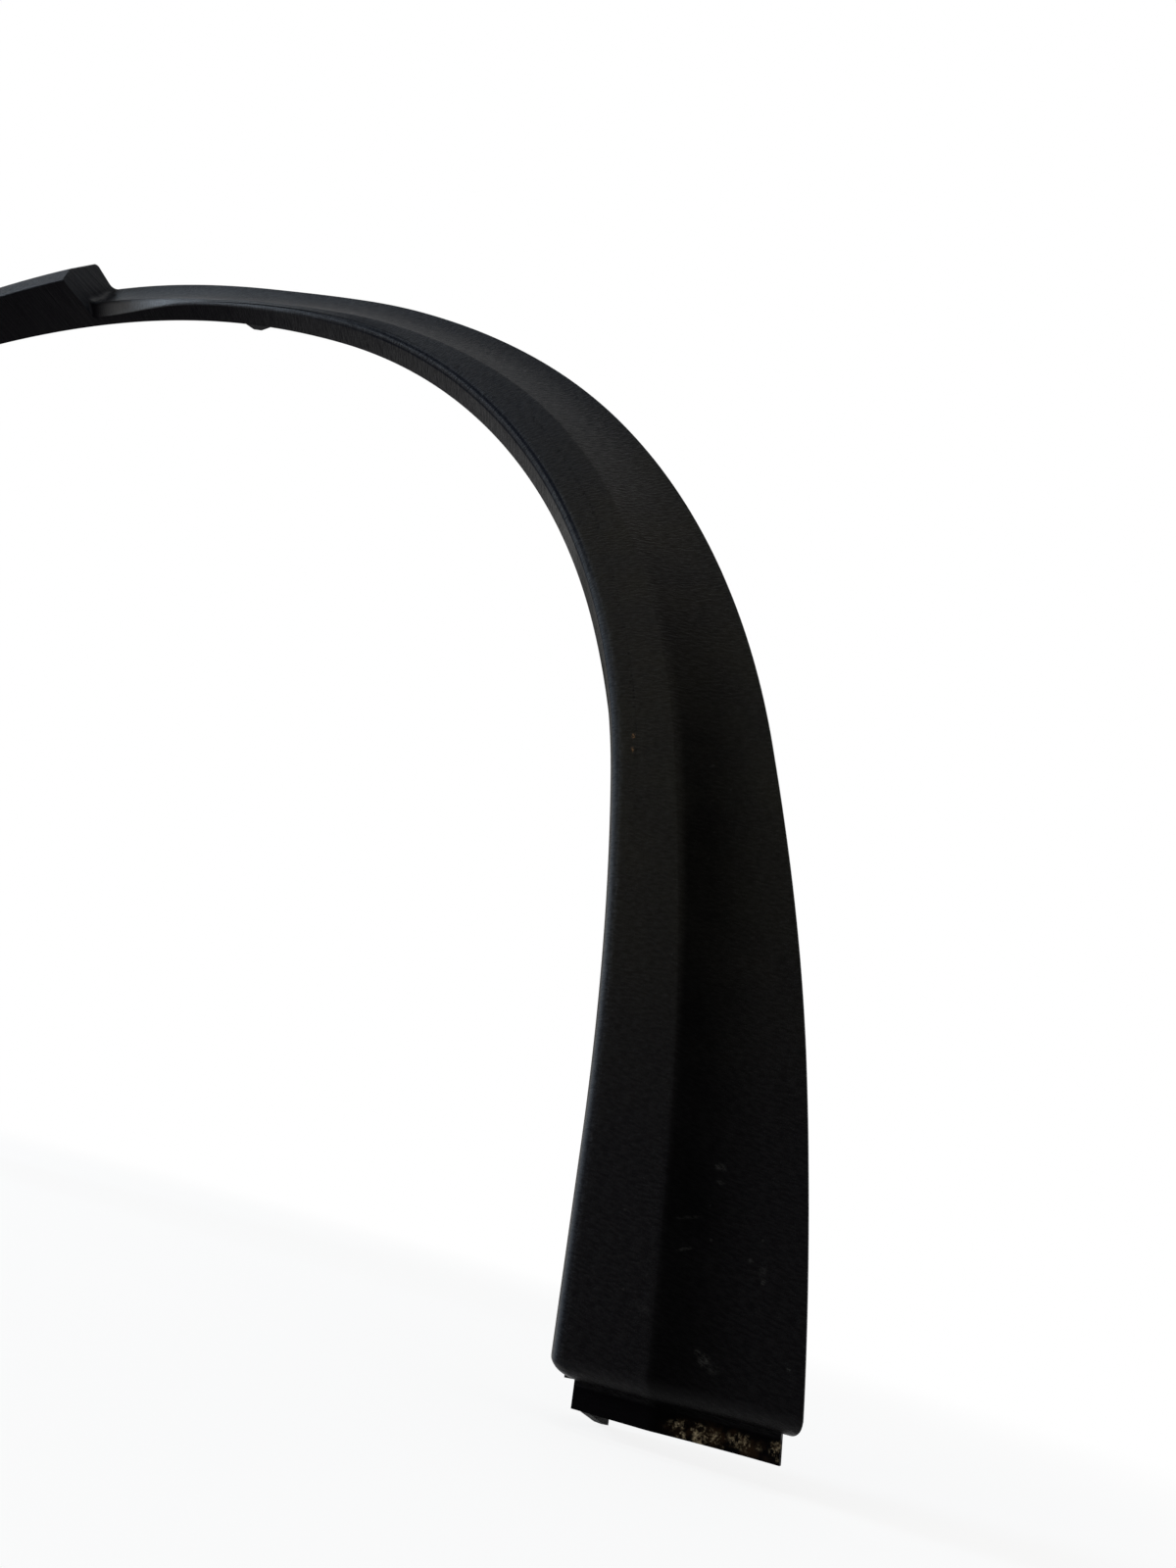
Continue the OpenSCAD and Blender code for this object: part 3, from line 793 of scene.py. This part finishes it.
def dull_mask(n, at, hollow, flank, flaw):
    """Where the plain plastic reflects less than its usual level."""
    underside = n.times(n.ramp(at.z, -0.5, -0.2, 1.0, 0.0), n.ramp(at.along, 0.06, 0.17, 1.0, 0.0))
    inner = n.times(n.ramp(at.y, -0.6, -0.35), n.ramp(at.out, 0.005, 0.007, 1.0, 0.0),
                    n.ramp(at.along, 0.375, 0.405))
    return n.most(n.times(hollow, 0.8), n.times(underside, 0.7), n.times(at.on_tab, 0.9),
                  n.times(flank, 0.8), n.times(inner, 0.97), n.times(flaw, 0.5))


def scuff_mask(n, at):
    hatch = n.ramp(n.noise(n.scaled(at.uv, (1500, 420, 0), turn=0.4), 1, 4, 0.75), 0.42, 0.6)
    marks = [n.times(spot(n, at.uv, *oval), strength) for *oval, strength in SCUFFS]
    return n.times(n.most(*marks), hatch)


def speck_mask(n, at):
    """Pale specks, scattered thinly."""
    return n.times(n.ramp(n.cells(at.place, 160), 0.05, 0.1, 1.0, 0.0),
                   n.ramp(n.noise(at.place, 60, 2), 0.58, 0.62))


def rust_mask(n, at):
    """Two rusty specks at the lower end of the band."""
    ovals = n.most(spot(n, at.uv, 484, 13.2, 1.8, 1.0), spot(n, at.uv, 489.5, 12.7, 1.5, 0.9))
    return n.times(ovals, n.ramp(n.noise(at.place, 1800, 3), 0.5, 0.6))


def soil_masks(n, at):
    """Soil dried on to the lower half of the tab, the brown stain round it, and the soil's lumps."""
    flat = n.add("ShaderNodeCombineXYZ")
    n.link(at.below_foot, flat.inputs[0])
    n.link(at.out, flat.inputs[1])
    on_foot = flat.outputs[0]
    patch = n.most(spot(n, on_foot, 5.6, 48, 3.2, 10, 0.05, 0.55),
                   n.times(spot(n, on_foot, 4.8, 61, 2.6, 6, 0.1, 0.5), 0.8),
                   spot(n, on_foot, 4.6, 70.5, 3.2, 2.6, 0, 0.5))
    lumps = n.noise(at.place, 520, 5, 0.72)
    soil = n.times(patch, at.on_tab, n.ramp(lumps, 0.46, 0.56))
    stain = n.times(spot(n, on_foot, 5.5, 56, 5, 21, 0, 0.3), at.on_tab,
                    n.ramp(n.noise(at.place, 160, 4, 0.6), 0.42, 0.62))
    return soil, stain, lumps


def black_plastic():
    """Leather-grained black plastic with its fading, dust, scuffs, pits and soil, and painted light: top
    light, a blue rim highlight, dark reflections beside it, shade in the hollow and a lighter back.
    """
    n = Nodes("grained black plastic")
    at = Where(n)
    pits, step, flaw = tool_marks(n, at)
    hollow = hollow_shade_mask(n, at)
    flank = dark_reflection_flank_mask(n, at)
    # Where the rolled edge faces the window: its blue highlight is painted into the colour, and on the leg
    # it also shines more
    rolled = n.times(n.ramp(at.x, -0.85, -0.3, 1.0, 0.0), at.outboard)
    # The back is painted lighter: partly the grey of bare plastic that was never out in the weather, partly
    # painted light so that the back, which the lamps hardly reach, still shows.
    back = n.ramp(at.y, 0.2, 0.5)
    scuffs = scuff_mask(n, at)
    soil, stain, lumps = soil_masks(n, at)
    earth = n.blend(n.ramp(n.noise(at.place, 1100, 4), 0.35, 0.65), STAIN, SOIL)

    # Among these coats, the fade, the blue of the rolled edge, the navy of the flanks, the black of the
    # hollow and the back's grey carry painted light and shade
    colour = BLACK
    for share, coat in ((fade_and_top_light_mask(n, at), FADED_AND_TOP_LIT), (dust_mask(n, at), DUSTY),
                        (n.times(flaw, 0.5), PIT_AND_SHADE_BLACK), (n.times(hollow, 0.8), PIT_AND_SHADE_BLACK),
                        (n.times(rolled, n.ramp(at.along, 0.25, 0.4)), BLUE_RIM_HIGHLIGHT), (flank, NAVY_DARK_REFLECTION),
                        (back, BARE_AND_LIGHTENED_BACK), (scuffs, SCUFFED), (n.times(speck_mask(n, at), 0.2), SCUFFED),
                        (rust_mask(n, at), RUST), (n.times(stain, 0.8), STAIN), (soil, earth)):
        colour = n.blend(share, colour, coat)
    n.link(colour, n.shader.inputs["Base Color"])

    rough = n.ramp(at.cloud, 0.3, 0.7, *ROUGHNESS)
    n.link(n.math("ADD", rough, n.times(n.most(soil, scuffs), 0.3)), n.shader.inputs["Roughness"])
    plain = n.times(n.math("SUBTRACT", 1.0, dull_mask(n, at, hollow, flank, flaw)),
                    n.ramp(at.leather, 0.35, 0.65, *GLOSS))
    n.link(n.math("ADD", shine_level(n, at, rolled, back), plain), n.shader.inputs["Specular IOR Level"])

    grain = n.noise(at.place, 2600, 2, 0.6)
    bump = n.bump(n.math("ADD", at.leather, n.times(grain, 0.35)), 1.0, 0.0004)
    bump = n.bump(n.math("SUBTRACT", n.times(step, 0.25), pits), 0.6, 0.0001, bump)
    bump = n.bump(n.times(soil, lumps), 0.8, 0.0012, bump)
    n.link(bump, n.shader.inputs["Normal"])
    return n.material


def clip_plastic():
    """Off-white nylon, a little translucent and yellowed."""
    n = Nodes("clip nylon")
    place = n.add("ShaderNodeTexCoord").outputs["Object"]
    cloud = n.noise(place, 300, 4)
    n.link(n.blend(cloud, OLD_NYLON, NYLON), n.shader.inputs["Base Color"])
    n.link(n.ramp(cloud, 0.3, 0.7, 0.35, 0.5), n.shader.inputs["Roughness"])
    n.link(n.bump(n.noise(place, 1800, 2), 0.15, 0.0001), n.shader.inputs["Normal"])
    n.shader.inputs["Subsurface Weight"].default_value = 0.15
    n.shader.inputs["Subsurface Radius"].default_value = (0.002, 0.0015, 0.001)
    return n.material


# The photograph's camera, in the row's frame
CAMERA_PLACE = (0.6114, -0.37627, -0.42416)
CAMERA_AHEAD = (-0.4007, 0.8468, 0.3498)
CAMERA_UP = (-0.0925, -0.4173, 0.9041)

# Rays to which the surroundings are white
SEEN_BY = ("Is Camera Ray", "Is Glossy Ray", "Is Transmission Ray")

# Soft square lamps, all aimed at one point: name, place, watts, colour
LAMP_SIZE = 0.6
LAMP_AIM = Vector((0.2, 0, -0.15))
LAMPS = (("high left window", (-0.963, -0.312, 1.188), 1.9, (0.6, 0.8, 1)),
         ("left panel", (-1.546, 0.308, 0.163), 1, (1, 1, 0.95)),
         ("window", (-1.355, -0.827, 0.224), 38, (0.74, 0.86, 1)),
         ("front panel", (-0.322, -1.434, 0.804), 5.2, (1, 0.9, 0.6)),
         ("overhead panel", (0.2, -0.313, 1.623), 5, (1, 1, 0.97)))


def make_camera():
    """The photograph's camera: 1200 px of focal length on a frame 1600 px high."""
    data = bpy.data.cameras.new("camera")
    data.sensor_width = 36
    data.lens = 27
    data.clip_start = 0.01
    camera = bpy.data.objects.new("camera", data)
    bpy.context.scene.collection.objects.link(camera)
    ahead = Vector(CAMERA_AHEAD).normalized()
    right = ahead.cross(Vector(CAMERA_UP)).normalized()
    up = right.cross(ahead)
    turned = Matrix((right, up, -ahead)).transposed().to_4x4()
    camera.matrix_world = Matrix.Translation(CAMERA_PLACE) @ turned
    bpy.context.scene.camera = camera


def area_light(name, place, power, colour):
    data = bpy.data.lights.new(name, "AREA")
    data.shape = "RECTANGLE"
    data.size = data.size_y = LAMP_SIZE
    data.energy = power
    data.color = colour
    lamp = bpy.data.objects.new(name, data)
    lamp.location = place
    lamp.rotation_euler = (LAMP_AIM - Vector(place)).to_track_quat("-Z", "Y").to_euler()
    bpy.context.scene.collection.objects.link(lamp)


def make_world():
    """A white backdrop for the camera, and a softer sky that lights the trim from above."""
    world = bpy.data.worlds.new("studio")
    bpy.context.scene.world = world
    world.use_nodes = True
    tree = world.node_tree
    tree.nodes.clear()
    path = tree.nodes.new("ShaderNodeLightPath")
    way = tree.nodes.new("ShaderNodeTexCoord")
    parts = tree.nodes.new("ShaderNodeSeparateXYZ")
    tree.links.new(way.outputs["Generated"], parts.inputs[0])
    sky = tree.nodes.new("ShaderNodeMapRange")
    sky.interpolation_type = "SMOOTHSTEP"
    tree.links.new(parts.outputs["Z"], sky.inputs["Value"])
    for key, number in (("From Min", -0.15), ("From Max", 0.9), ("To Min", 0.05), ("To Max", 0.5)):
        sky.inputs[key].default_value = number
    strength = sky.outputs[0]
    for kind in SEEN_BY:
        seen = tree.nodes.new("ShaderNodeMath")
        seen.operation = "MAXIMUM"
        tree.links.new(path.outputs[kind], seen.inputs[0])
        tree.links.new(strength, seen.inputs[1])
        strength = seen.outputs[0]
    shader = tree.nodes.new("ShaderNodeBackground")
    shader.inputs["Color"].default_value = (1, 1, 1, 1)
    tree.links.new(strength, shader.inputs["Strength"])
    tree.links.new(shader.outputs[0], tree.nodes.new("ShaderNodeOutputWorld").inputs[0])


def make_floor():
    """A pale floor under the feet, that turns into the white of the backdrop further out."""
    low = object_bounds()[0]
    bpy.ops.mesh.primitive_circle_add(vertices=96, radius=6, fill_type="NGON", location=(0.06, 0, low[2]))
    floor = bpy.context.object
    floor.name = "floor"
    n = Nodes("pale floor")
    n.shader.inputs["Base Color"].default_value = (0.82, 0.82, 0.82, 1)
    n.shader.inputs["Roughness"].default_value = 0.8
    place = n.add("ShaderNodeTexCoord").outputs["Object"]
    far = n.add("ShaderNodeVectorMath", operation="LENGTH")
    n.link(place, far.inputs[0])
    path = n.add("ShaderNodeLightPath")
    seen = n.most(*(path.outputs[kind] for kind in SEEN_BY))
    share = n.times(seen, n.ramp(far.outputs["Value"], 0.4, 1.1, 0.84, 1.0))
    white = n.add("ShaderNodeEmission")
    mixer = n.add("ShaderNodeMixShader")
    n.link(share, mixer.inputs[0])
    n.link(n.shader.outputs[0], mixer.inputs[1])
    n.link(white.outputs[0], mixer.inputs[2])
    n.link(mixer.outputs[0], n.tree.nodes["Material Output"].inputs[0])
    floor.data.materials.append(n.material)


make_camera()
moulding = make_shell()
clip_places = [-LOCATOR_S, -(LOCATOR_S + CLIP_S) / 2]
clip_places += [side * (CLIP_S + i * CLIP_PITCH) for side in (-1, 1) for i in range(CLIP_N)]
seats = list(zip(*(clip_seat(s) for s in clip_places)))
join_solids(moulding, [list(layer) + [other] for layer, other in zip(seats, foot_tab())] + [lug()])
map_arch(moulding)
smooth(moulding, 32)
moulding.data.materials.append(black_plastic())
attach(moulding, "root")
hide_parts("trim")

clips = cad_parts["clips"]
clips.data.materials.clear()
clips.data.materials.append(clip_plastic())

make_world()
make_floor()
for lamp in LAMPS:
    area_light(*lamp)

bpy.context.scene.view_settings.view_transform = "Standard"
